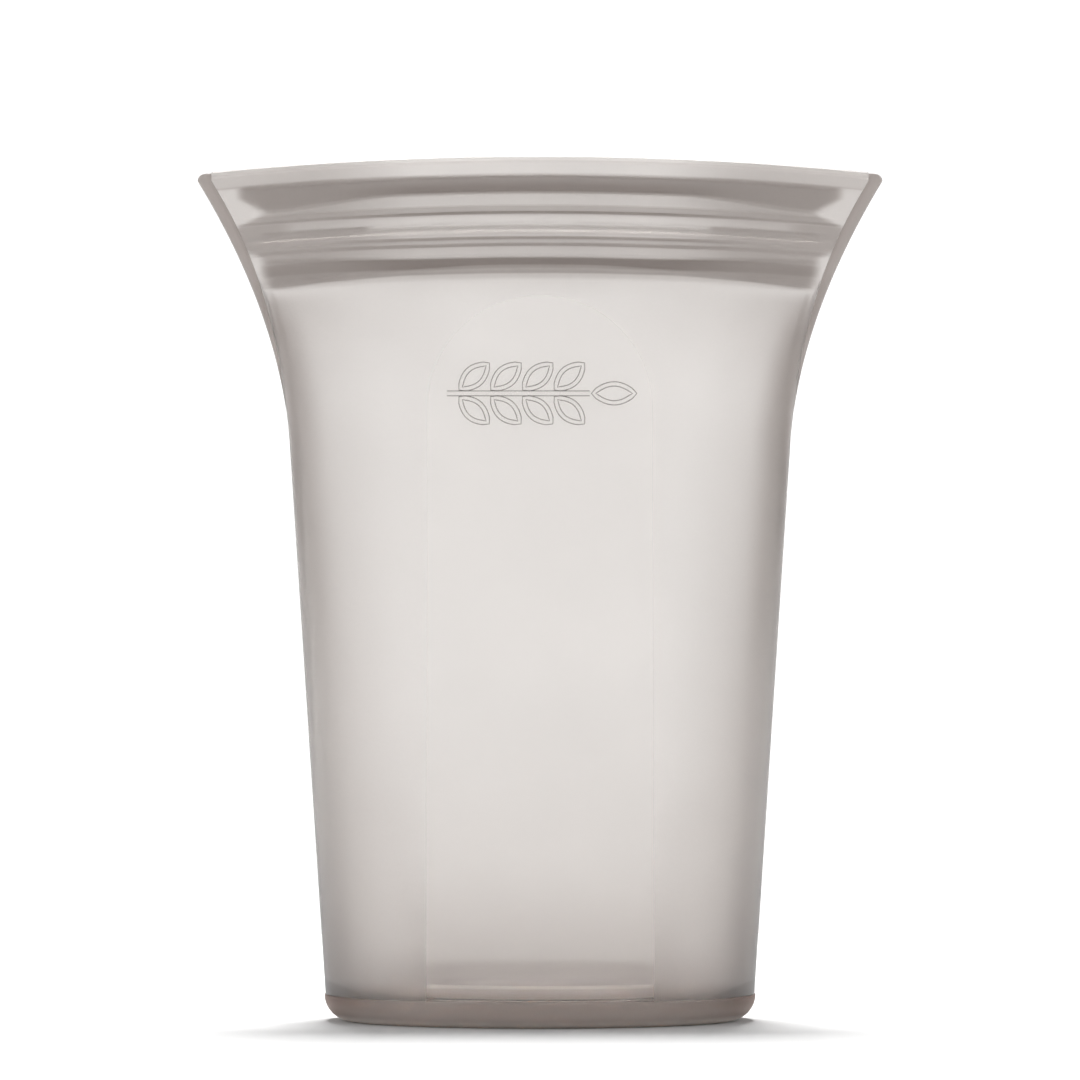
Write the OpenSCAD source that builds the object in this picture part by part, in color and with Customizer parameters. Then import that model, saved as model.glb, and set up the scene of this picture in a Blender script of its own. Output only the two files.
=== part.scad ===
// Stand-up silicone storage cup that presses shut at the top, closed.
// Units: mm. +Z up, front lip towards -Y, width along X.
// Origin: centre of the flat foot, on the table plane.
// The cup is one moulding: each node is one functional zone of it.

/* [Overall] */
// Height of the rim above the table at the middle of the lips
rim_height = 164; // [150:1:175]
// Half width of the closed cup at the top corners
corner_half_w = 65.2; // [63:0.1:67]
// Thickness of the soft wall
wall_t = 1.8; // [1.4:0.1:2.4]

/* [Base] */
// Outer radius of the round base
base_r = 40.9; // [39:0.1:42.5]
// Thickness of the floor, also the radius of the rounded bottom edge
floor_t = 5; // [4:0.5:6]
// Inner radius of the standing ring under the base
foot_inner_r = 31; // [28:0.5:33]
// Depth of the recess inside the standing ring
foot_recess = 0.8; // [0.4:0.1:1.5]
// Height at which the upright base band ends and the walls begin to lean
band_top = 8; // [8:0.5:10]
// Radius between the inner floor and the base band
floor_fillet = 3; // [1:0.5:3]

/* [Walls] */
// Height at which the leaning walls end and the lips begin
wall_top = 140; // [138:0.5:141]
// Half depth of the closed cup at the top of the walls
pinch_half_d = 3.0; // [2.9:0.1:3.3]
// How the lean of the front and rear walls builds up with height
lean_power = 1.15; // [1:0.05:1.3]
// Width gained for each millimetre of height in the lower cup
side_taper = 0.0653; // [0.04:0.001:0.08]
// Height at which the sides begin to flare out to the corners
flare_start = 110; // [100:1:115]
// How sharply the flare curves outwards
flare_power = 1.88; // [1.5:0.02:2.2]
// Width of the folded side strip at the base band
gusset_w_low = 6; // [5:0.5:8]
// Width of the folded side strip at the top corners
gusset_w_top = 3; // [2.6:0.1:3.6]

/* [Lips] */
// Thickness of each lip plate
lip_t = 2.4; // [2:0.1:3]
// Half of the gap between the two closed lips
lip_half_gap = 0.2; // [0.15:0.05:0.3]
// Height the rim drops from its middle to its corners
rim_drop = 3.4; // [2:0.1:5]
// Height of the bead along the rim
bead_h = 1.2; // [0.8:0.1:2]
// How far the bead stands out from the lip
bead_out = 0.4; // [0.2:0.1:0.8]
// Distance from the rim down to the top of the upper grip rib
upper_rib_down = 3.8; // [3:0.1:5]
// Height of the upper grip rib
upper_rib_h = 3.1; // [2:0.1:3.6]
// Half length of the upper grip rib
upper_rib_half = 56.5; // [50:0.5:58]
// Distance from the rim down to the top of the lower grip rib
lower_rib_down = 19.3; // [18.6:0.1:20]
// Height of the lower grip rib
lower_rib_h = 1.8; // [1.2:0.1:2.4]
// Half length of the lower grip rib
lower_rib_half = 50.5; // [44:0.5:51]
// How far the grip ribs stand out from the lip
rib_out = 1.1; // [0.6:0.1:1.6]

/* [Zip] */
// Distance from the rim down to the top of the zip track
track_down = 10.9; // [10:0.1:12]
// Height of the zip track
track_h = 4.9; // [4.4:0.1:5.4]
// How far the track stands out from the lip on the outside
track_out = 0.4; // [0.2:0.1:0.6]
// Height of the zip ridge at its root
ridge_h = 2.0; // [1.6:0.1:2.2]
// Height of the zip ridge at its tip
ridge_tip_h = 1.2; // [0.8:0.1:1.4]
// How far the ridge reaches into the groove of the other lip
ridge_reach = 1.4; // [1:0.1:1.5]
// Clearance around the ridge inside the groove
ridge_gap = 0.3; // [0.25:0.05:0.4]
// Half length of the zip ridge
ridge_half = 53; // [46:0.5:54]

/* [Window] */
// Half width of the smooth arched window panel in the front wall
window_half = 21.4; // [18:0.1:24]
// Height at which the arch of the window springs
window_spring = 116.2; // [110:0.1:118]
// Height of the bottom of the window
window_low = 11; // [9:0.5:14]
// Thickness of the window panel
window_t = 1.5; // [1.2:0.1:1.8]

/* [Emblem] */
// Height of the middle of the embossed sprig
emblem_z = 118.8; // [114:0.1:121]
// Half width of the embossed sprig
emblem_half = 18; // [14:0.5:18.5]
// Thickness of the embossed lines
emblem_line = 1.1; // [0.8:0.1:1.4]
// How far the lines stand out from the window
emblem_out = 0.5; // [0.3:0.1:0.8]

/* [Hidden] */
// Gap between parts that move apart from each other
move_gap = 0.3;
// Rows and columns of each curved wall
wall_rows = 12;
wall_cols = 16;
nose_cols = 8;
// Radius of the arc that the rim and all the bands follow
rim_r = (pow(corner_half_w, 2) + pow(rim_drop, 2)) / (2 * rim_drop);
rim_z0 = rim_height - rim_r;
// Rounding of the top corners, and the height at which the flare ends just below it
tip_round = 1.4;
flare_end = rim_height - rim_drop - tip_round;
// Half width that the flare adds to the straight taper at the corners
flare_gain = corner_half_w - base_r - side_taper * (flare_end - band_top);
// How much squarer than a circle the section is half way up
fullness = 0.55;
plate_in = lip_half_gap;
plate_out = lip_half_gap + lip_t;
// Each rib end slants inwards by this much over this height
rib_slant = [2.5, 100];
// Leaves of the sprig: spacing along the stalk, then length and width of a side and an end leaf
leaf_step = 6;
side_leaf = [8, 3.6];
end_leaf = [8.4, 4];
// Reach of the cutting shapes beyond the cup
beyond = 60;
soft_col = [0.80, 0.77, 0.75];
clear_col = [0.88, 0.86, 0.84];
dark_col = [0.62, 0.59, 0.57];

// Half width of the closed cup at height z: straight taper, then the flare out to the corners
function half_w(z) = let (zz = min(z, flare_end))
  base_r + side_taper * (zz - band_top)
  + flare_gain * pow(max(0, zz - flare_start) / (flare_end - flare_start), flare_power);
// How far up the leaning wall height z is, 0 to 1
function rise(z) = min(1, max(0, (z - band_top) / (wall_top - band_top)));
// Half depth of the closed cup at height z
function half_d(z) = base_r + (pinch_half_d - base_r) * pow(rise(z), lean_power);
// Squareness of the section: a circle at the base, fuller half way up
function square_n(z) = 2 + fullness * sin(180 * rise(z));
// Width of the folded strip at height z
function strip_w(z) = gusset_w_low + (gusset_w_top - gusset_w_low) * rise(z);
// Half width at which the front and rear parts end and the side strips begin
function cut_x(z) = half_w(z) - strip_w(z);
// Depth of the section at x and z, moved inwards by inset
function depth_at(x, z, inset) = let (a = half_w(z) - inset, b = half_d(z) - inset,
  n = square_n(z), q = min(1, abs(x) / a)) b * pow(1 - pow(q, n), 1 / n);
// Even steps across, a little finer towards both ends
function spread(s) = 0.75 * s + 0.25 * sin(90 * s);
function row_z(k, z0, z1) = z0 + (z1 - z0) * k / wall_rows;

// Front wall points, seen from the front: x grows with j and z with k
function wall_pts(z0, z1, inset) = [for (k = [0:wall_rows]) for (j = [0:wall_cols])
  let (z = row_z(k, z0, z1), x = (cut_x(z) - move_gap) * spread(2 * j / wall_cols - 1))
  [x, -depth_at(x, z, inset), z]];
// Points round the folded nose of the right side, from front to rear
function nose_pts(z0, z1, inset) = [for (k = [0:wall_rows]) for (j = [0:nose_cols])
  let (z = row_z(k, z0, z1), a = half_w(z) - inset, b = half_d(z) - inset, n = square_n(z),
    lim = acos(pow(cut_x(z) / a, n / 2)), t = lim * (2 * j / nose_cols - 1))
  [a * pow(cos(t), 2 / n), b * sign(t) * pow(abs(sin(t)), 2 / n), z]];
// Triangles of a closed shell between an outer and an inner grid of points
function shell_faces(rows, cols) = let (c = cols + 1, m = (rows + 1) * (cols + 1)) concat(
  [for (k = [0:rows - 1]) for (j = [0:cols - 1])
    [k * c + j, (k + 1) * c + j, (k + 1) * c + j + 1]],
  [for (k = [0:rows - 1]) for (j = [0:cols - 1])
    [k * c + j, (k + 1) * c + j + 1, k * c + j + 1]],
  [for (k = [0:rows - 1]) for (j = [0:cols - 1])
    [m + k * c + j, m + (k + 1) * c + j + 1, m + (k + 1) * c + j]],
  [for (k = [0:rows - 1]) for (j = [0:cols - 1])
    [m + k * c + j, m + k * c + j + 1, m + (k + 1) * c + j + 1]],
  [for (j = [0:cols - 1]) [j, j + 1, m + j + 1, m + j]],
  [for (j = [0:cols - 1])
    [rows * c + j, m + rows * c + j, m + rows * c + j + 1, rows * c + j + 1]],
  [for (k = [0:rows - 1]) [k * c, m + k * c, m + (k + 1) * c, (k + 1) * c]],
  [for (k = [0:rows - 1])
    [m + k * c + cols, k * c + cols, (k + 1) * c + cols, m + (k + 1) * c + cols]]);

// A layer of the front wall from one inset to another
module wall_layer(z0, z1, inset_out, inset_in)
  polyhedron(concat(wall_pts(z0, z1, inset_out), wall_pts(z0, z1, inset_in)),
    shell_faces(wall_rows, wall_cols), convexity = 4);
// The folded nose of the right side
module nose(z0, z1)
  polyhedron(concat(nose_pts(z0, z1, 0), nose_pts(z0, z1, wall_t)),
    shell_faces(wall_rows, nose_cols), convexity = 4);
// A flat shape drawn in X and Z, given depth from y0 to y1
module upright(y0, y1)
  translate([0, y1, 0]) rotate([90, 0, 0]) linear_extrude(y1 - y0) children();
// Arched band between two distances below the rim
module band(down_top, down_low) difference() {
  translate([0, rim_z0]) circle(r = rim_r - down_top, $fn = 720);
  translate([0, rim_z0]) circle(r = rim_r - down_low, $fn = 720);
}
// Outline of a lip between heights z0 and z1, out to the side strips less a gap
function edge_pts(z0, z1, gap) = [for (k = [0:8]) let (z = z0 + (z1 - z0) * k / 8)
  [half_w(z) - gusset_w_top - gap, z]];
module lip_outline(z0 = wall_top) let (r = edge_pts(z0, rim_height + 1, move_gap))
  polygon(concat(r, [for (k = [8:-1:0]) [-r[k][0], r[k][1]]]));
// Outline of the right side strip beside the lips, where front and rear are one piece
module strip_outline() let (r = edge_pts(wall_top, rim_height + 1, 0))
  polygon(concat([for (p = r) [p[0] + gusset_w_top, p[1]]], [for (k = [8:-1:0]) r[k]]));
// One band of a lip plate
module lip_band(down_top, down_low, y0, y1) upright(-y1, -y0)
  intersection() { band(down_top, down_low); lip_outline(); }
// A grip rib with slanted ends
module grip_rib(down, h, half) upright(-plate_out - rib_out, -plate_out)
  intersection() {
    band(down, down + h);
    translate([0, rim_height - beyond]) polygon([[-half, 0], [-half + rib_slant[0], rib_slant[1]],
      [half - rib_slant[0], rib_slant[1]], [half, 0]]);
  }
// Arched outline of the window
module window_outline() {
  translate([0, window_spring]) circle(r = window_half, $fn = 96);
  translate([-window_half, window_low]) square([2 * window_half, window_spring - window_low]);
}
// Pointed leaf outline standing on its stalk end
module leaf(len, fat) {
  r = (pow(len / 2, 2) + pow(fat / 2, 2)) / fat;
  difference() {
    intersection() {
      translate([fat / 2 - r, len / 2]) circle(r = r, $fn = 64);
      translate([r - fat / 2, len / 2]) circle(r = r, $fn = 64);
    }
    intersection() {
      translate([fat / 2 - r - emblem_line, len / 2]) circle(r = r, $fn = 64);
      translate([r - fat / 2 + emblem_line, len / 2]) circle(r = r, $fn = 64);
    }
  }
}
// A lying sprig: a stalk with leaves on both sides and one at its end
module sprig() translate([0, emblem_z]) {
  translate([-emblem_half, -emblem_line / 2])
    square([2 * emblem_half - end_leaf[0] + 1.4, emblem_line]);
  for (s = [0:3]) translate([-emblem_half + (s + 0.5) * leaf_step, 0]) {
    translate([0, emblem_line / 2]) rotate(-48) leaf(side_leaf[0], side_leaf[1]);
    translate([0, -emblem_line / 2]) rotate(-132) leaf(side_leaf[0], side_leaf[1]);
  }
  translate([emblem_half - end_leaf[0], 0]) rotate(-90) leaf(end_leaf[0], end_leaf[1]);
}
// Cross-section of the zip ridge or of the groove it sits in
module ridge_section(grow, reach) polygon([[-0.01, -ridge_h / 2 - grow],
  [-0.01, ridge_h / 2 + grow], [reach, ridge_tip_h / 2 + grow], [reach, -ridge_tip_h / 2 - grow]]);
// Solid arched bar with that section, from y0 towards +Y
module ridge_bar(grow, reach, half, y0) let (r = rim_r - track_down - track_h / 2)
  intersection() {
    translate([0, y0, rim_z0]) rotate([-90, 0, 0])
      difference() {
        cylinder(h = reach, r1 = r + ridge_h / 2 + grow, r2 = r + ridge_tip_h / 2 + grow, $fn = 720);
        translate([0, 0, -0.001]) cylinder(h = reach + 0.002, r1 = r - ridge_h / 2 - grow,
          r2 = r - ridge_tip_h / 2 - grow, $fn = 720);
      }
    translate([-half, y0 - 1, rim_height - beyond]) cube([2 * half, reach + 2, beyond]);
  }

module foot_ring() color(dark_col) rotate_extrude($fn = 180) {
  translate([foot_inner_r, 0]) square([base_r - floor_t - foot_inner_r, floor_t]);
  intersection() {
    translate([base_r - floor_t, floor_t]) circle(r = floor_t, $fn = 96);
    translate([base_r - floor_t, 0]) square(floor_t);
  }
}
module floor() color(dark_col) translate([0, 0, foot_recess])
  cylinder(h = floor_t - foot_recess, r = foot_inner_r, $fn = 180);
module base_band() color(soft_col) rotate_extrude($fn = 180) {
  translate([base_r - wall_t, floor_t]) square([wall_t, band_top - floor_t]);
  difference() {
    translate([base_r - wall_t - floor_fillet, floor_t]) square([floor_fillet, floor_fillet]);
    translate([base_r - wall_t - floor_fillet, floor_t + floor_fillet])
      circle(r = floor_fillet, $fn = 96);
  }
}
module right_gusset() color(soft_col) nose(band_top, wall_top);
module left_gusset() color(soft_col) mirror([1, 0, 0]) nose(band_top, wall_top);
module right_edge_fold() color(dark_col) upright(-plate_out, plate_out)
  intersection() {
    strip_outline();
    translate([0, wall_top]) square([2 * corner_half_w, beyond]);
    translate([0, rim_z0]) circle(r = rim_r - track_down, $fn = 720);
  }
module left_edge_fold() mirror([1, 0, 0]) right_edge_fold();
module right_corner() color(dark_col) upright(-plate_out, plate_out)
  intersection() {
    strip_outline();
    band(0, track_down);
    union() {
      translate([0, rim_height - beyond]) square([corner_half_w, flare_end - rim_height + beyond]);
      translate([0, rim_height - beyond]) square([corner_half_w - tip_round, beyond]);
      translate([corner_half_w - tip_round, flare_end]) circle(r = tip_round, $fn = 48);
    }
  }
module left_corner() mirror([1, 0, 0]) right_corner();

module front_wall() color(soft_col) difference() {
  wall_layer(band_top + move_gap, wall_top, 0, wall_t);
  upright(-beyond, 0) window_outline();
}
module front_window() color(clear_col) intersection() {
  wall_layer(band_top + move_gap, wall_top, 0, window_t);
  upright(-beyond, 0) window_outline();
}
module front_emblem() color(dark_col) intersection() {
  wall_layer(band_top + move_gap, wall_top, -emblem_out, 0);
  upright(-beyond, 0) sprig();
}
module front_collar() color(soft_col) upright(-plate_out, -plate_in) intersection() {
  lip_outline();
  translate([0, rim_z0]) circle(r = rim_r - track_down - track_h, $fn = 720);
}
module front_lower_rib() color(dark_col) grip_rib(lower_rib_down, lower_rib_h, lower_rib_half);
module front_zip_track() color(soft_col)
  lip_band(track_down, track_down + track_h, plate_in, plate_out + track_out);
module front_zip_ridge() color(soft_col)
  ridge_bar(0, plate_in + ridge_reach, ridge_half, -plate_in);
module front_flange() color(soft_col) lip_band(bead_h, track_down, plate_in, plate_out);
module front_upper_rib() color(dark_col) grip_rib(upper_rib_down, upper_rib_h, upper_rib_half);
module front_rim_bead() color(dark_col)
  lip_band(0, bead_h, plate_in, plate_out + bead_out);

module rear_wall() color(soft_col) mirror([0, 1, 0])
  wall_layer(band_top + move_gap, wall_top, 0, wall_t);
module rear_collar() mirror([0, 1, 0]) front_collar();
module rear_lower_rib() mirror([0, 1, 0]) front_lower_rib();
module rear_zip_track() color(soft_col) difference() {
  mirror([0, 1, 0]) lip_band(track_down, track_down + track_h, plate_in, plate_out + track_out);
  ridge_bar(ridge_gap, ridge_reach + ridge_gap + lip_half_gap, ridge_half + 0.8, -plate_in);
}
module rear_flange() mirror([0, 1, 0]) front_flange();
module rear_upper_rib() mirror([0, 1, 0]) front_upper_rib();
module rear_rim_bead() mirror([0, 1, 0]) front_rim_bead();

foot_ring();
floor();
base_band();
left_gusset();
right_gusset();
left_edge_fold();
right_edge_fold();
left_corner();
right_corner();
front_wall();
front_window();
front_emblem();
front_collar();
front_lower_rib();
front_zip_track();
front_zip_ridge();
front_flange();
front_upper_rib();
front_rim_bead();
rear_wall();
rear_collar();
rear_lower_rib();
rear_zip_track();
rear_flange();
rear_upper_rib();
rear_rim_bead();
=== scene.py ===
"""Stand-up silicone cup with a zip at the top.

Lengths are millimetres until make_object turns them into metres. x runs across the mouth, y from
front to rear and z up from the table. d is the distance below the rim.
"""
import math

import bpy
import numpy as np
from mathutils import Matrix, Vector


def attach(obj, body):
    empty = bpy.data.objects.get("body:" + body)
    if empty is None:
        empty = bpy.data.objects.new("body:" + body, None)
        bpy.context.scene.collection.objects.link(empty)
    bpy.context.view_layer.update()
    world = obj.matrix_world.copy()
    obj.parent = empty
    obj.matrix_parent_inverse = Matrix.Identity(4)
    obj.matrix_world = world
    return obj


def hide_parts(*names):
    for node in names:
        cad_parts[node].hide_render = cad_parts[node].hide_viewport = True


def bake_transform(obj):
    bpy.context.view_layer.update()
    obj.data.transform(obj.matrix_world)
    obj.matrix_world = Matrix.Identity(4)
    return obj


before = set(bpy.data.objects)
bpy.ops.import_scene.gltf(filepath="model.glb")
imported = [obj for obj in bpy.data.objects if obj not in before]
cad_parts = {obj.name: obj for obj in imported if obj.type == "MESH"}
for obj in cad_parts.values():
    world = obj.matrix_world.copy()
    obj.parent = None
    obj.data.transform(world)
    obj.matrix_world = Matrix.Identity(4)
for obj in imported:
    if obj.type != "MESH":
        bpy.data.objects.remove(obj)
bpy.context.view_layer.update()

MM = 0.001

# ---------------------------------------------------------------- dimensions, mm
BASE_R = 40.9                        # radius of the round base
FLOOR_T = 5.0                        # thickness of the base and radius of its rounded edge
FOOT_R, RECESS = 31.0, 0.8           # recess inside the standing ring: radius and depth
BAND_TOP = 8.0                       # the walls stand upright up to here
WALL_TOP, WALL_T = 140.0, 1.8        # the walls lean together up to here; their thickness
FILLET = 3.0                         # between floor and walls, inside
PINCH, LEAN = 3.0, 1.15              # half depth at WALL_TOP, and how the lean sets in
FULLNESS, FLATNESS = 0.55, 6.0       # squareness of the section, halfway up and at the lips
RIM_H, CORNER, DROP = 164.0, 65.0, 3.4   # rim at the middle, half width and drop of the tips
TIP_ROUND = 1.4                      # rounding of the tips
TAPER = 0.0653                       # the sides widen this much for each mm of height
FLARE0, FLARE_P = 110.0, 1.88        # start and power of the flare under the lips
FLARE1 = RIM_H - DROP - TIP_ROUND    # the flare ends where the tips start to round
FLARE_GAIN = CORNER - BASE_R - TAPER * (FLARE1 - BAND_TOP)
RIM_R = (CORNER ** 2 + DROP ** 2) / (2 * DROP)    # radius of the arched rim
LIPS_H = 24.0                        # height of the lips
LIP_OUT, LIP_IN = 2.6, 0.2           # outer and inner face of a lip, from the plane y = 0
RIM_ROUND_OUT, RIM_ROUND_IN = 0.75, 0.5   # rounding of the rim on each face
FOLD_W, FOLD_LOW = 2.7, 116.0        # solid strip at each side: width and lower end
WIN_HALF = 21.4                      # half width of the arched window
WIN_SPRING, WIN_LOW = 116.2, 3.0     # where its arch springs, and its lower end
WIN_STEP = 0.10                      # how far its face lies back
ZIP_D = 13.35                        # middle of the zip, below the rim
# Zip ridge in front and groove at the rear: depth, half width, and reach from the middle
RIDGE_OUT, RIDGE_HALF, RIDGE_END = 1.40, 0.8, 53.2
GROOVE_IN, GROOVE_HALF, GROOVE_END = 1.55, 1.15, 54.2
MIN_HALF_D = 0.02                    # keeps the faces of the two halves apart
SPRIG_Z = 118.8                      # height of the raised sprig


# ---------------------------------------------------------------- shape rules
def smooth(t):
    t = np.clip(t, 0.0, 1.0)
    return t * t * (3 - 2 * t)


def up(v, start, length):
    """0 before start, then a smooth rise to 1 over length."""
    return smooth((v - start) / length)


def down(v, start, length):
    """1 before start, then a smooth fall to 0 over length."""
    return 1 - up(v, start, length)


def bar(v, lo, hi, soft):
    """1 between lo and hi, with soft edges."""
    return smooth((v - lo) / soft + 0.5) * smooth((hi - v) / soft + 0.5)


def half_w(z):
    """Half width of the cup."""
    zz = np.minimum(z, FLARE1)
    flare = np.maximum(0.0, zz - FLARE0) / (FLARE1 - FLARE0)
    return BASE_R + TAPER * (zz - BAND_TOP) + FLARE_GAIN * flare ** FLARE_P


def rise(z):
    """0 where the walls start to lean, 1 where they meet the lips."""
    return np.clip((z - BAND_TOP) / (WALL_TOP - BAND_TOP), 0, 1)


def half_d(z):
    """Half depth of the cup in the middle, where x is 0."""
    wall = BASE_R + (PINCH - BASE_R) * rise(z) ** LEAN
    return wall - (PINCH - LIP_OUT) * up(z, WALL_TOP, 3.0)


def square_n(z):
    """Power of the section's superellipse: 2 is an ellipse, more is squarer."""
    return 2 + FULLNESS * np.sin(np.pi * rise(z)) + FLATNESS * up(z, 126, 20)


def depth_out(x, z):
    """Half depth of the plain outer face, without ribs and window step."""
    n = square_n(z)
    q = np.clip(np.abs(x) / half_w(z), 0, 1)
    return half_d(z) * (1 - q ** n) ** (1 / n)


def rim_drop(x):
    """How far the arched rim has dropped, x away from the middle."""
    return RIM_R - np.sqrt(RIM_R ** 2 - x ** 2)


def rim_round(d, radius):
    """How far a face draws back near the rim, for a rounded edge."""
    return radius * (1 - math.sqrt(max(0.0, 1 - ((radius - min(d, radius)) / radius) ** 2)))


def fold_w(z):
    """Width of the solid fold strip at the side, none below the flare."""
    return FOLD_W * up(z, 112, 44)


def window_mask(x, z, edge=1.1):
    """1 inside the arched window, 0 outside, with a soft edge."""
    dist = np.where(z > WIN_SPRING, np.hypot(x, z - WIN_SPRING), np.abs(x))
    return smooth((WIN_HALF - dist) / (2 * edge) + 0.5) * smooth((z - WIN_LOW) / 0.6 + 0.5)


def open_share(x, z):
    """0 at the folds and the base, 1 at the middle of the lips."""
    reach = half_w(z) - np.maximum(fold_w(z), 1.0)
    side = np.clip(1 - np.abs(x) / reach, 0, 1)
    return side * up(z, BAND_TOP, 26)


def lips_relief(x, d):
    """How far ribs, track, lines and bead stand out from the lip's outer face."""
    ax = np.abs(x)
    spread = up(ax, 26, 26)
    rim_bead = 0.30 * bar(d, 0.0, 1.15, 0.35)
    upper_rib = 0.85 * bar(d, 3.8, 6.9 + 1.7 * spread, 1.2) * down(ax, 54.8 - 0.75 * (d - 3.8), 4)
    flange_line = 0.12 * bar(d, 9.35, 9.65, 0.3) * down(ax, 53, 5)
    track = 0.4 * bar(d, 10.7, 15.7, 0.5) * down(ax, 54.5, 5)
    track_line = 0.22 * bar(d, 13.2, 13.6, 0.4) * down(ax, 29, 4)
    spindle = 0.30 * bar(d, 12.9, 13.9, 0.7) * up(ax, 30, 4) * down(ax, 51, 6)
    low_line = 0.15 * bar(d, 16.4, 16.9, 0.4) * down(ax, 53, 5)
    lower_rib = 0.7 * bar(d, 19.1 - spread, 21.1 + 2.0 * spread, 1.2) * down(ax, 49.7, 4)
    step = 0.08 * bar(d, 21.6, 40.0, 0.4) * down(d, 23, 10)
    raised = rim_bead + upper_rib + track + spindle + low_line + lower_rib + step
    return raised - flange_line - track_line


# ---------------------------------------------------------------- tone rules
# Tone darkens the colour: 0 is plain wall, 1 the deepest brown. It stands partly for thicker moulding and
# partly for painted shade and painted highlights, as each rule below says.

# Bands across the lips: from and to (mm below the rim), softness, tone in the middle of the lips
# and tone towards their ends
# The narrow edge and line bands are painted shade where the relief bends the light; the wide bands stand
# for thicker moulding.
LIP_BANDS = [
    (0.0, 3.6, 0.3, 0.00, 0.28),        # rim bead
    (-0.4, 0.25, 0.2, 0.34, 0.36),      # its top edge
    (0.9, 1.2, 0.2, 0.26, 0.36),        # its lower edge
    (3.75, 4.25, 0.3, 0.70, 0.62),      # upper edge of the upper rib
    (6.9, 9.4, 0.5, 0.16, 0.44),        # flange
    (9.2, 10.85, 0.3, 0.42, 0.54),      # shallow groove
    (10.45, 11.05, 0.25, 0.86, 0.60),   # its lower edge
    (11.0, 15.1, 0.3, 0.03, 0.32),      # zip track
    (13.1, 13.45, 0.25, 0.54, 0.50),    # line along the zip
    # Painted shade over the lower half of the track, against a light streak there
    (13.4, 15.0, 0.3, 0.27, 0.52),      # lower half of the track
    (15.25, 15.8, 0.25, 0.84, 0.50),    # lower edge of the track
    (15.6, 18.9, 0.3, 0.25, 0.52),      # flange below the track
    (16.5, 17.15, 0.25, 0.74, 0.60),    # line on it
    (20.7, 22.2, 0.4, 0.48, 0.58),      # step under the lower rib
    (21.8, 22.3, 0.25, 0.60, 0.60),     # edge of that step
    (22.1, 23.3, 0.8, 0.18, 0.14),      # where the lips meet the wall
]

# How far from the middle the ribs and lines reach, at each distance below the rim
LIP_ENDS_D = (3.4, 3.65, 5.6, 8.6, 9.0, 11.2, 12.0, 14.8, 15.3, 17.2, 24.0)
LIP_ENDS_X = (80.0, 57.2, 57.2, 51.9, 52.8, 58.0, 63.0, 63.0, 56.5, 53.0, 51.8)


def lips_tone_and_painted_shade(x, d):
    """Tone of the lips: thicker ribs and bands, with painted shade along their edges and lines."""
    ax = np.abs(x)
    far = up(ax, 20, 24)
    spread = up(ax, 26, 26)
    tone = np.zeros_like(x)
    for lo, hi, soft, middle, ends in LIP_BANDS:
        lift = 0.35 * far if lo > 15 else 0.0
        drop = 0.6 * up(ax, 24, 18) + 0.4 * up(ax, 40, 10) if hi > 22 else 0.0
        band = bar(d, lo - lift, hi - 0.4 * lift + drop, soft)
        tone = np.maximum(tone, (middle + (ends - middle) * far) * band)
    rib_tone = 0.58 + 0.24 * up(d, 4.0, 2.2)
    rib_tone = rib_tone + (0.63 - rib_tone) * far
    upper_rib = rib_tone * bar(d, 3.7 - 0.5 * far, 6.85 + 1.75 * spread, 0.5 + 0.9 * far)
    lower_edge = 20.75 + 0.55 * up(ax, 8, 20)
    lower_rib = (0.87 - 0.17 * far) * bar(d, 19.35 - 0.85 * far, lower_edge, 0.4 + 0.8 * far)
    spindle = 0.52 * bar(d, 12.65, 13.75, 0.5) * up(ax, 30.6, 3) * down(ax, 46, 12)
    merge = 0.53 * bar(d, 11.0, 19.0, 0.6) * up(ax, 42, 8)
    reach = np.interp(d, LIP_ENDS_D, LIP_ENDS_X)
    tone = np.maximum.reduce([tone, upper_rib, lower_rib, spindle, merge]) * down(ax, reach - 1.6, 3.2)
    tips = 0.13 * up(ax, 50, 6) * bar(d, 3.4, 19.0, 0.6)
    return np.clip(np.maximum(tone, tips), 0, 1)


def low_shade_and_fillet(x, z, in_window):
    """Painted shade darkening the walls towards the base, less so inside the clearer window, and a darker
    band just above the floor outside the window for the thicker silicone there.
    """
    low = 0.30 * down(z, 4, 30) + 0.19 * down(z, 10, 60)
    low = low * (1 - 0.35 * up(np.abs(x), 21, 10))
    band_top = 5.2 + 2.9 * up(np.abs(x), 29, 12)
    solid = 0.60 * down(z, band_top - 0.8, 1.6)
    return np.maximum(low, solid * (1 - in_window))


def painted_side_light_and_shade(x, z):
    """Painted shade towards the side folds, where the walls turn away from the light, with painted light
    along the very edge of the lower walls.
    """
    edge = half_w(z) - np.abs(x)
    broad = 0.22 * up(z, 5, 60) * down(edge, 0, 22)
    narrow = 0.07 + 0.33 * down(z, 8, 48) + 0.20 * up(z, 60, 25) + 0.11 * up(z, 100, 22)
    narrow = narrow * down(edge, 0, 8) * (1 - up(z, 30, 30) * down(edge, 0, 1.6))
    narrow = narrow * (1 - 0.6 * up(z, 130, 8))
    # Painted highlight along the very edge of the lower walls, painted shade at the edge and further in
    # under the flare
    painted_rim_highlight = 0.32 * up(z, 14, 24) * down(z, 82, 15) * down(edge, 0, 2.4)
    painted_rim_shade = 0.10 * up(z, 95, 10) * down(z, 128, 8) * down(edge, 0, 1.6)
    under_lips = 0.11 * up(z, 118, 14) * up(edge, 0, 5) * down(edge, 14, 28)
    # Painted shade: darkest a little way in from the edge, more at the right side, away from the light,
    # and a little darker low down
    turn = (0.05 + 0.10 * (x > 0)) * down(edge, 0.8, 6.5) * down(z, 126, 10) * up(edge, 0, 1.2)
    lower = 0.06 * bar(z, 18, 44, 14) * bar(edge, 7, 19, 8)
    return broad + narrow - painted_rim_highlight + painted_rim_shade + under_lips + turn + lower


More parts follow.
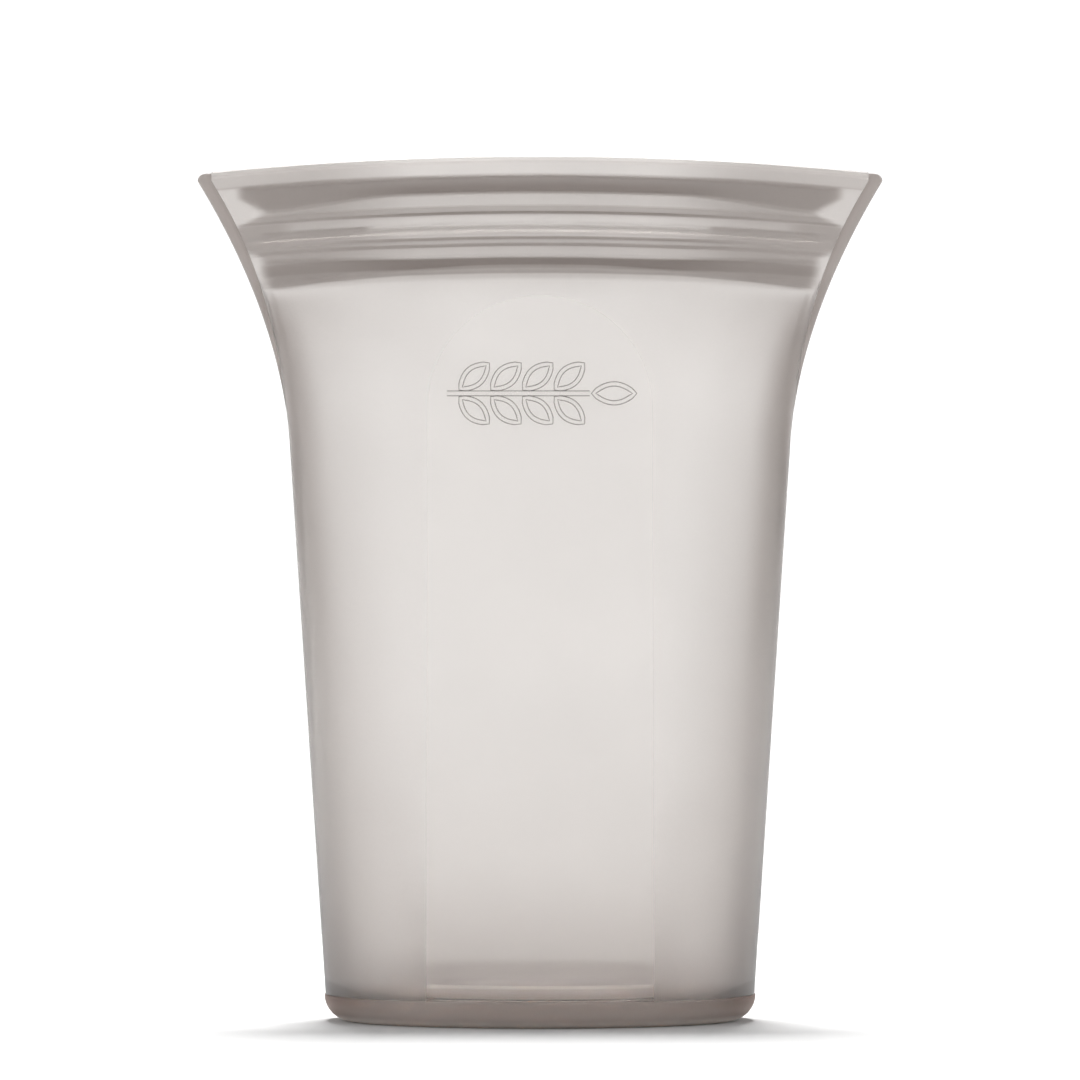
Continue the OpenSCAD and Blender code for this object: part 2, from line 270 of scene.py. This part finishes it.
def wall_tone_and_painted_light(x, z, d, lip, rear):
    """Tone of one row of a half shell, with its painted shade and highlights. lip is 0 on the walls and 1
    on the lips.
    """
    inside = 0.0 if rear else bar(x, -WIN_HALF, WIN_HALF, 0.3)
    dark = np.maximum(lips_tone_and_painted_shade(x, d) * lip, low_shade_and_fillet(x, z, inside) + painted_side_light_and_shade(x, z) * (1 - lip))
    if rear:
        # A darker band over the thicker inner fillet, and a painted highlight line where the wall stands
        # on the floor
        dark = dark + 0.36 * bar(z, 5.3, 9.6, 0.3)
        dark = dark * (1 - bar(z, 4.0, 5.45, 0.2) * (np.abs(x) < 30))
    else:
        # Painted highlight along the inner edge of the floor seen through the window, painted shade just
        # above it, and a painted lighter line just above the floor
        painted_floor_highlight = 0.75 * bar(z, 7.5, 8.1, 0.25) + 0.22 * bar(z, 6.6, 8.0, 0.8)
        dark = dark * (1 - painted_floor_highlight * inside) + 0.05 * bar(z, 8.2, 9.4, 0.5) * inside
        painted_low_line_light = 0.5 + 0.4 * up(np.abs(x), 8, 10)
        dark = dark * (1 - painted_low_line_light * bar(z, 4.5, 5.6, 0.3) * inside)
    return np.clip(dark, 0, 1)


# ---------------------------------------------------------------- mesh helpers
def make_object(name, verts, faces, material):
    mesh = bpy.data.meshes.new(name)
    mesh.from_pydata((np.asarray(verts) * MM).tolist(), [], faces)
    mesh.validate()
    mesh.update()
    mesh.polygons.foreach_set("use_smooth", [True] * len(mesh.polygons))
    mesh.materials.append(material)
    obj = bpy.data.objects.new(name, mesh)
    bpy.context.scene.collection.objects.link(obj)
    return obj


def put_look(obj, verts, shade, clear):
    """What the silicone materials read at each point: its place on the closed cup in mm, its tone with
    its painted shade and highlights, and how clear it gets where it lies inside the window's outline."""
    place = obj.data.attributes.new("rest", "FLOAT_VECTOR", "POINT")
    place.data.foreach_set("vector", np.asarray(verts, np.float32).ravel())
    tone = obj.data.attributes.new("shade", "FLOAT", "POINT")
    tone.data.foreach_set("value", np.asarray(shade, np.float32))
    front = obj.data.attributes.new("clear", "FLOAT", "POINT")
    front.data.foreach_set("value", np.full(len(verts), clear, np.float32))


def shell_faces(rows, cols, flip):
    """Quads of a closed shell: outer grid, inner grid, and the four rims between them."""
    c, m = cols + 1, (rows + 1) * (cols + 1)
    faces = []
    for k in range(rows):
        for j in range(cols):
            p = k * c + j
            faces.append((p, p + 1, p + c + 1, p + c))
            faces.append((m + p, m + p + c, m + p + c + 1, m + p + 1))
    for j in range(cols):
        faces.append((j + 1, j, m + j, m + j + 1))
        p = rows * c + j
        faces.append((p, p + 1, m + p + 1, m + p))
    for k in range(rows):
        p = k * c
        faces.append((p, p + c, m + p + c, m + p))
        p = k * c + cols
        faces.append((p + c, p, m + p, m + p + c))
    return [tuple(reversed(q)) for q in faces] if flip else faces


def blend_shell(obj, share, final):
    lay = np.zeros_like(final)
    lay[:, 0] = share
    obj.data.vertices.foreach_set("co", lay.ravel())
    obj.data.update()
    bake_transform(obj)
    obj.data.vertices.foreach_set("co", (final * MM).ravel())
    obj.data.update()


# ---------------------------------------------------------------- materials
def silicone(name, light, dark, transmission, rough_frost, rough_clear, absorb=None,
             coat=0.5, grain=0.35, ior=1.12):
    """Frosted silicone. light and dark are its colours at tone 0 and 1, rough_clear its roughness
    inside the window, absorb the colour and density of its volume, grain the depth of the frost."""
    mat = bpy.data.materials.new(name)
    mat.use_nodes = True
    nodes, links = mat.node_tree.nodes, mat.node_tree.links
    bsdf = nodes["Principled BSDF"]

    def attribute(key):
        node = nodes.new("ShaderNodeAttribute")
        node.attribute_name = key
        return node

    def calc(operation, *values):
        node = nodes.new("ShaderNodeMath")
        node.operation = operation
        for socket, value in zip(node.inputs, values):
            if isinstance(value, (int, float)):
                socket.default_value = value
            else:
                links.new(value, socket)
        return node.outputs["Value"]

    def remap(value, from_min, from_max, to_min, to_max):
        node = nodes.new("ShaderNodeMapRange")
        node.inputs["From Min"].default_value = from_min
        node.inputs["From Max"].default_value = from_max
        node.inputs["To Min"].default_value = to_min
        node.inputs["To Max"].default_value = to_max
        links.new(value, node.inputs["Value"])
        return node.outputs["Result"]

    def noise(vector, scale, detail):
        node = nodes.new("ShaderNodeTexNoise")
        node.inputs["Scale"].default_value = scale
        node.inputs["Detail"].default_value = detail
        links.new(vector, node.inputs["Vector"])
        return node.outputs["Fac"]

    # The arched window, from each point's place on the closed cup
    rest = attribute("rest").outputs["Vector"]
    place = nodes.new("ShaderNodeSeparateXYZ")
    links.new(rest, place.inputs[0])
    over = calc("MAXIMUM", calc("SUBTRACT", place.outputs["Z"], WIN_SPRING), 0.0)
    across = calc("MULTIPLY", place.outputs["X"], place.outputs["X"])
    dist = calc("SQRT", calc("ADD", across, calc("MULTIPLY", over, over)))
    inside = remap(dist, WIN_HALF + 0.12, WIN_HALF - 0.12, 0.0, 1.0)
    clear = calc("MULTIPLY", inside, attribute("clear").outputs["Fac"])

    # Colour: the tone, with cloudy variation of the moulding and a fine grain of half a millimetre
    cloud = remap(noise(rest, 0.045, 3.0), 0.3, 0.7, 0.985, 1.015)
    frost = noise(rest, 2.2, 2.0)
    speckle = calc("MULTIPLY_ADD", frost, 0.05, 0.965)
    window_tone = calc("MULTIPLY_ADD", clear, 0.012, 1.0)
    level = calc("MULTIPLY", calc("MULTIPLY", cloud, speckle), window_tone)
    mix = nodes.new("ShaderNodeMix")
    mix.data_type = "RGBA"
    mix.inputs["A"].default_value = (*light, 1)
    mix.inputs["B"].default_value = (*dark, 1)
    links.new(attribute("shade").outputs["Fac"], mix.inputs["Factor"])
    tone = nodes.new("ShaderNodeVectorMath")
    tone.operation = "SCALE"
    links.new(mix.outputs["Result"], tone.inputs[0])
    links.new(level, tone.inputs["Scale"])
    links.new(tone.outputs["Vector"], bsdf.inputs["Base Color"])

    # Roughness and bump from the same grain, both weaker inside the window
    rough = remap(clear, 0.0, 1.0, rough_frost, rough_clear)
    links.new(calc("MULTIPLY_ADD", frost, 0.08, rough), bsdf.inputs["Roughness"])
    bump = nodes.new("ShaderNodeBump")
    bump.inputs["Distance"].default_value = 0.05 * MM
    links.new(calc("MULTIPLY_ADD", clear, -grain * 0.75, grain), bump.inputs["Strength"])
    links.new(frost, bump.inputs["Height"])
    links.new(bump.outputs["Normal"], bsdf.inputs["Normal"])

    bsdf.inputs["Transmission Weight"].default_value = transmission
    bsdf.inputs["IOR"].default_value = ior
    bsdf.inputs["Coat Weight"].default_value = coat
    bsdf.inputs["Coat Roughness"].default_value = 0.35
    bsdf.inputs["Coat IOR"].default_value = 1.4
    if absorb is not None:
        colour, density = absorb
        volume = nodes.new("ShaderNodeVolumeAbsorption")
        volume.inputs["Color"].default_value = (*colour, 1)
        volume.inputs["Density"].default_value = density
        links.new(volume.outputs["Volume"], nodes["Material Output"].inputs["Volume"])
    return mat


def base_silicone():
    """The base is thick: it scatters light inside instead of passing it."""
    mat = silicone("silicone_base", (0.85, 0.77, 0.72), (0.15, 0.112, 0.098), 0.10, 0.50, 0.16, coat=0.05)
    inputs = mat.node_tree.nodes["Principled BSDF"].inputs
    inputs["Specular IOR Level"].default_value = 0.2
    inputs["Subsurface Weight"].default_value = 1.0
    inputs["Subsurface Radius"].default_value = (1.0, 0.92, 0.88)
    inputs["Subsurface Scale"].default_value = 10 * MM
    return mat


WALL = silicone("silicone_wall", (0.975, 0.965, 0.955), (0.42, 0.38, 0.36), 0.92, 0.55, 0.16,
                absorb=((0.36, 0.31, 0.28), 135.0))
THICK = base_silicone()
STROKE = silicone("silicone_emblem", (1.0, 1.0, 1.0), (0.15, 0.14, 0.13), 1.0, 0.12, 0.10,
                  coat=0.3, grain=0.1, ior=1.02)


# ---------------------------------------------------------------- the two half shells
def shell_heights(low_rows, lip_rows):
    """Height of each row at the middle of the cup, closer together near the floor and the rim."""
    lip_d = np.linspace(LIPS_H, 1.4, lip_rows - 9)
    edge_d = np.array([1.2, 1.0, 0.8, 0.6, 0.42, 0.26, 0.13, 0.04, 0.0])
    near_floor = np.linspace(FLOOR_T + 0.02, 12, 34)
    walls = np.linspace(12, RIM_H - LIPS_H, low_rows - 33)
    return np.concatenate([near_floor, walls[1:], RIM_H - lip_d[1:], RIM_H - edge_d])


def inner_face(u, z, zc, xe, lip, rear):
    """x and half depth of the inner face of one row, with fillet, zip ridge or groove."""
    d = RIM_H - zc
    n = square_n(z)
    closing = up(z, 137, 6)
    thick = WALL_T + FILLET - math.sqrt(max(0.0, FILLET ** 2 - max(0.0, BAND_TOP - zc) ** 2))
    half = half_w(z) - thick * (1 - closing) - fold_w(z)
    wall = np.maximum(half_d(z) - thick, 0.2) * (1 - np.abs(u) ** n) ** (1 / n)
    x = u * (half * (1 - closing) + xe * closing)
    y = (1 - closing) * wall + closing * LIP_IN
    ax = np.abs(u * xe)
    if rear:
        groove = bar(d, ZIP_D - GROOVE_HALF, ZIP_D + GROOVE_HALF, 0.35) * down(ax, GROOVE_END - 0.8, 0.8)
        y = y + GROOVE_IN * groove * lip + rim_round(d, RIM_ROUND_IN)
        return x, np.maximum(y, MIN_HALF_D)
    ridge = bar(d, ZIP_D - RIDGE_HALF, ZIP_D + RIDGE_HALF, 0.45) * down(ax, RIDGE_END - 0.8, 0.8)
    y = y - RIDGE_OUT * ridge * lip + rim_round(d, RIM_ROUND_IN)
    # Only the ridge reaches past the plane y = 0
    return x, np.where(y > 0, np.maximum(y, MIN_HALF_D), y)


def shell(name, side, cols, low_rows, lip_rows):
    """Front (side -1) or rear (side 1) half of the cup, wall and lip in one closed skin."""
    rear = side > 0
    s = np.linspace(-1, 1, cols + 1)
    u = 0.62 * s + 0.38 * np.sin(np.pi / 2 * s)    # columns stand closer towards the folds
    outer, inner, shade = [], [], []
    heights = shell_heights(low_rows, lip_rows)
    for zc in heights:
        # Rows bow with the rim, more and more from 60 mm up; xe is where this row meets the fold
        bow = up(zc, 60, RIM_H - LIPS_H - 60)
        xe = half_w(zc)
        for _ in range(30):
            ze = zc - bow * rim_drop(xe)
            xe = half_w(ze) - fold_w(ze)
        x = u * xe
        z = zc - bow * rim_drop(x)
        d = RIM_H - zc
        lip = up(zc, RIM_H - 26, 3)
        y = depth_out(x, z)
        y = y + lips_relief(x, d) * lip * np.clip(y / 1.2, 0, 1) - rim_round(d, RIM_ROUND_OUT)
        if not rear:
            y = y - WIN_STEP * window_mask(x, z)
        outer.append(np.stack([x, np.maximum(y, MIN_HALF_D), z], 1))
        inner.append(np.stack([*inner_face(u, z, zc, xe, lip, rear), z], 1))
        shade.append(wall_tone_and_painted_light(x, z, d, lip, rear))
    final = np.concatenate(outer + inner)
    final[:, 1] *= side
    shade = np.concatenate(shade)
    obj = make_object(name, final, shell_faces(len(heights) - 1, cols, flip=rear), WALL)
    put_look(obj, final, np.concatenate([shade, 0.8 * shade]), 0.0 if rear else 1.0)
    blend_shell(obj, open_share(final[:, 0], final[:, 2]), final)
    return obj


front = shell("front_half", -1, cols=200, low_rows=150, lip_rows=170)
rear = shell("rear_half", 1, cols=160, low_rows=110, lip_rows=170)
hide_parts("front_wall", "front_window", "front_collar", "front_lower_rib", "front_zip_track",
            "front_zip_ridge", "front_flange", "front_upper_rib", "front_rim_bead", "base_band",
            "left_gusset")
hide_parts("rear_wall", "rear_collar", "rear_lower_rib", "rear_zip_track", "rear_flange",
            "rear_upper_rib", "rear_rim_bead", "right_gusset")


# ---------------------------------------------------------------- side folds
def fold(name, sign, nodes, ring=14):
    """Solid strip down one side of the lips, where front and rear are one piece, with a rounded tip."""
    top = RIM_H - DROP
    tip = top - np.array([1.8, 1.3, 0.9, 0.55, 0.3, 0.12, 0.0])
    heights = np.concatenate([np.linspace(FOLD_LOW, top, 91)[:-6], tip])
    rows = len(heights) - 1
    verts = []
    for z in heights:
        over = max(0.0, z - (top - TIP_ROUND))
        cut = TIP_ROUND - math.sqrt(max(0.0, TIP_ROUND ** 2 - over ** 2))
        x_in = half_w(z) - fold_w(z) + 0.03
        x_out = half_w(z) - cut
        # From the front inner corner, round the edge, to the rear inner corner
        for t in np.linspace(-1, 1, ring):
            x = x_in + (x_out - x_in) * math.sqrt(max(0.0, 1 - abs(t) ** 2.6))
            verts.append((sign * x, depth_out(x_in, z) * t, z))
    faces = []
    for k in range(rows):
        for j in range(ring):
            a0, a1 = k * ring + j, k * ring + (j + 1) % ring
            faces.append((a0, a1, a1 + ring, a0 + ring))
    faces.append(tuple(range(ring))[::-1])
    faces.append(tuple(rows * ring + j for j in range(ring)))
    if sign < 0:
        faces = [tuple(reversed(f)) for f in faces]
    obj = make_object(name, verts, faces, WALL)
    put_look(obj, verts, [0.95] * len(verts), 0.0)
    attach(obj, "cup")
    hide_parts(*nodes)


fold("left_side_fold", -1, ("left_edge_fold", "left_corner"))
fold("right_side_fold", 1, ("right_edge_fold", "right_corner"))


# ---------------------------------------------------------------- base
def base_profile():
    """Radius and height round the section: recess, standing ring, rounded edge, floor inside."""
    under = [(0.0, RECESS), (FOOT_R - 0.6, RECESS), (FOOT_R - 0.2, RECESS - 0.15),
             (FOOT_R, RECESS - 0.5), (FOOT_R + 0.25, 0.08), (FOOT_R + 0.6, 0.0),
             (BASE_R - FLOOR_T, 0.0)]
    turns = [math.pi / 2 * k / 16 for k in range(1, 17)]
    edge = [(BASE_R - FLOOR_T + FLOOR_T * math.sin(t), FLOOR_T - FLOOR_T * math.cos(t)) for t in turns]
    inside = BASE_R - WALL_T
    floor = [(BASE_R - 2.0, FLOOR_T), (inside - 3.0, FLOOR_T), (inside - 4.5, FLOOR_T - 0.05),
             (20.0, FLOOR_T - 0.25), (0.0, FLOOR_T - 0.3)]
    return under + edge + floor


def base_tone_and_painted_light(x, r, z):
    """Tone of the base: the floor inside is lighter, with a painted highlight ring at its edge; the ring
    has painted shade towards its sides and top, and painted light along its lowest edge.
    """
    ax = np.abs(x)
    # Painted highlight ring where the floor meets the wall
    floor = 0.41 - 0.41 * bar(r, 36.2, 40.0, 0.6)
    # Painted shade on the ring, deeper towards its sides and top
    side = 0.57 + 0.26 * up(ax, 18, 24) + 0.10 * up(z, 2.0, 2.5)
    side = np.minimum(side + 0.10 * up(ax, 31, 8), 1.0)
    on_floor = (z > FLOOR_T - 0.5) & (r < BASE_R - 2.5)
    # Painted light along the lowest edge of the ring
    return np.where(on_floor, floor, side * (1 - 0.9 * down(z, 0, 1.6)))


def base(seg=160):
    verts, faces, rings = [], [], []
    for r, z in base_profile():
        count = 1 if r == 0.0 else seg
        rings.append(range(len(verts), len(verts) + count))
        for k in range(count):
            t = 2 * math.pi * k / seg
            verts.append((r * math.cos(t), r * math.sin(t), z))
    for a, b in zip(rings[:-1], rings[1:]):
        for k in range(seg):
            k1 = (k + 1) % seg
            if len(a) == 1:
                faces.append((a[0], b[k1], b[k]))
            elif len(b) == 1:
                faces.append((a[k], a[k1], b[0]))
            else:
                faces.append((a[k], a[k1], b[k1], b[k]))
    obj = make_object("base", verts, faces, THICK)
    x, y, z = np.array(verts, float).T
    put_look(obj, verts, base_tone_and_painted_light(x, np.hypot(x, y), z), 0.0)
    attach(obj, "cup")
    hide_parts("foot_ring", "floor")


base()


# ---------------------------------------------------------------- embossed sprig
def stroke(path, closed, width, height=0.42):
    """One raised line: verts (x, height above the window, z), the tone of each, and faces."""
    p = np.array(path, float)
    after = np.roll(p, -1, 0) - p
    before = p - np.roll(p, 1, 0)
    if not closed:
        after[-1] = before[-1]
        before[0] = after[0]
    along = after / np.linalg.norm(after, axis=1)[:, None]
    along = along + before / np.linalg.norm(before, axis=1)[:, None]
    along /= np.linalg.norm(along, axis=1)[:, None]
    normal = np.stack([-along[:, 1], along[:, 0]], 1)
    h = width / 2
    # Section: distance from the middle line, height as a share, and tone, with painted shade on the
    # bevels only
    section = [(-h, -0.25, 0.0), (-h, 0.55, 1.0), (-h + 0.10, 0.85, 1.0), (-h + 0.26, 1.0, 0.0),
               (0.0, 1.02, 0.0),
               (h - 0.26, 1.0, 0.0), (h - 0.10, 0.85, 1.0), (h, 0.55, 1.0), (h, -0.25, 0.0)]
    m = len(section)
    verts, shade, faces = [], [], []
    for point, aside in zip(p, normal):
        for offset, share, tone in section:
            x, z = point + aside * offset
            verts.append((x, share * height, z))
            shade.append(tone)
    for i in range(len(p) if closed else len(p) - 1):
        i1 = (i + 1) % len(p)
        for k in range(m):
            k1 = (k + 1) % m
            faces.append((i * m + k, i * m + k1, i1 * m + k1, i1 * m + k))
    if not closed:
        faces.append(tuple(range(m))[::-1])
        faces.append(tuple((len(p) - 1) * m + k for k in range(m)))
    return verts, shade, faces


def leaf_path(x0, z0, angle, length, fat, n=22):
    """Outline of one leaf, from its foot to its tip and back."""
    c, s = math.cos(angle), math.sin(angle)
    points = []
    for k in range(n):
        t = k / n
        along = 2 * length * min(t, 1 - t)
        aside = fat / 2 * math.sin(math.pi * min(1.0, along / length)) ** 0.8
        aside = aside if t < 0.5 else -aside
        points.append((x0 + along * c - aside * s, z0 + along * s + aside * c))
    return points


def sprig():
    """A stem with four pairs of leaves and one leaf at its tip."""
    tilt = math.radians(42)
    foot = 0.9    # the leaves start this far above and below the middle of the stem
    lines = [stroke([(-17.6 + 0.6 * k, SPRIG_Z) for k in range(46)], False, 1.1)]
    for k in range(4):
        for way in (1, -1):
            leaf = leaf_path(-15.0 + 6.0 * k, SPRIG_Z + way * foot, way * tilt, 6.9, 3.3)
            lines.append(stroke(leaf, True, 1.0))
    lines.append(stroke(leaf_path(10.1, SPRIG_Z, 0.0, 7.8, 3.6), True, 1.0))
    verts, shade, faces = [], [], []
    for line_verts, line_shade, line_faces in lines:
        start = len(verts)
        verts += line_verts
        shade += line_shade
        faces += [tuple(start + i for i in q) for q in line_faces]
    x, raised, z = np.array(verts).T
    sunk = WIN_STEP + 0.06    # the lines start just below the window's face
    final = np.stack([x, -(depth_out(x, z) - sunk + raised), z], 1)
    obj = make_object("front_sprig", final, faces, STROKE)
    put_look(obj, final, shade, 0.5)
    blend_shell(obj, open_share(x, z), final)
    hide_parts("front_emblem")


sprig()


# ---------------------------------------------------------------- stage, light and camera, metres
STAGE_HALF, STAGE_Z = 0.45, -0.00003


def stage_floor():
    """Pale floor, a hair below the base so that the two don't share a plane."""
    corners = [(STAGE_HALF * i, STAGE_HALF * j, STAGE_Z) for i, j in ((-1, -1), (1, -1), (1, 1), (-1, 1))]
    mesh = bpy.data.meshes.new("stage_floor")
    mesh.from_pydata(corners, [], [(0, 1, 2, 3)])
    white = bpy.data.materials.new("stage_white")
    white.use_nodes = True
    inputs = white.node_tree.nodes["Principled BSDF"].inputs
    inputs["Base Color"].default_value = (0.67, 0.67, 0.67, 1)
    inputs["Roughness"].default_value = 0.9
    inputs["Specular IOR Level"].default_value = 0.0
    mesh.materials.append(white)
    obj = bpy.data.objects.new("stage_floor", mesh)
    bpy.context.scene.collection.objects.link(obj)


def studio_world(horizon=1.13, ceiling=0.2, to_left=0.12):
    """A bright band of studio wall round the horizon, dimmer towards the ceiling, and a little
    brighter at the left than at the right."""
    world = bpy.data.worlds.new("studio")
    world.use_nodes = True
    nodes, links = world.node_tree.nodes, world.node_tree.links
    background = nodes["Background"]
    background.inputs["Color"].default_value = (1, 1, 1, 1)
    sky = nodes.new("ShaderNodeTexCoord")
    split = nodes.new("ShaderNodeSeparateXYZ")
    links.new(sky.outputs["Generated"], split.inputs[0])
    level = nodes.new("ShaderNodeMapRange")
    level.interpolation_type = "SMOOTHSTEP"
    level.inputs["From Min"].default_value = 0.30
    level.inputs["From Max"].default_value = 0.85
    level.inputs["To Min"].default_value = horizon
    level.inputs["To Max"].default_value = ceiling
    links.new(split.outputs["Z"], level.inputs["Value"])
    lean = nodes.new("ShaderNodeMath")
    lean.operation = "MULTIPLY_ADD"
    links.new(split.outputs["X"], lean.inputs[0])
    lean.inputs[1].default_value = -to_left
    lean.inputs[2].default_value = 1.0
    both = nodes.new("ShaderNodeMath")
    both.operation = "MULTIPLY"
    links.new(level.outputs["Result"], both.inputs[0])
    links.new(lean.outputs["Value"], both.inputs[1])
    links.new(both.outputs["Value"], background.inputs["Strength"])
    bpy.context.scene.world = world


def area(name, loc, target, size, power):
    """A square lamp that faces its target."""
    light = bpy.data.lights.new(name, "AREA")
    light.shape = "SQUARE"
    light.size = size
    light.energy = power
    obj = bpy.data.objects.new(name, light)
    obj.location = loc
    obj.rotation_euler = (Vector(target) - Vector(loc)).to_track_quat("-Z", "Y").to_euler()
    bpy.context.scene.collection.objects.link(obj)


def camera():
    """Level, far away with a long lens, at a little over half the cup's height."""
    data = bpy.data.cameras.new("camera")
    data.lens = 360
    data.sensor_width = 36
    data.clip_end = 100
    obj = bpy.data.objects.new("camera", data)
    obj.location = (0, -2.05, 0.0911)
    obj.rotation_euler = (math.pi / 2, 0, 0)
    bpy.context.scene.collection.objects.link(obj)
    bpy.context.scene.camera = obj


stage_floor()
studio_world()
area("soft_top", (0.0, 0.50, 1.15), (0, 0, 0.02), size=0.42, power=28.5)
area("soft_front", (0.0, -1.2, 1.0), (0, 0, 0.05), size=1.2, power=0.5)
camera()
bpy.context.scene.view_settings.view_transform = "Standard"
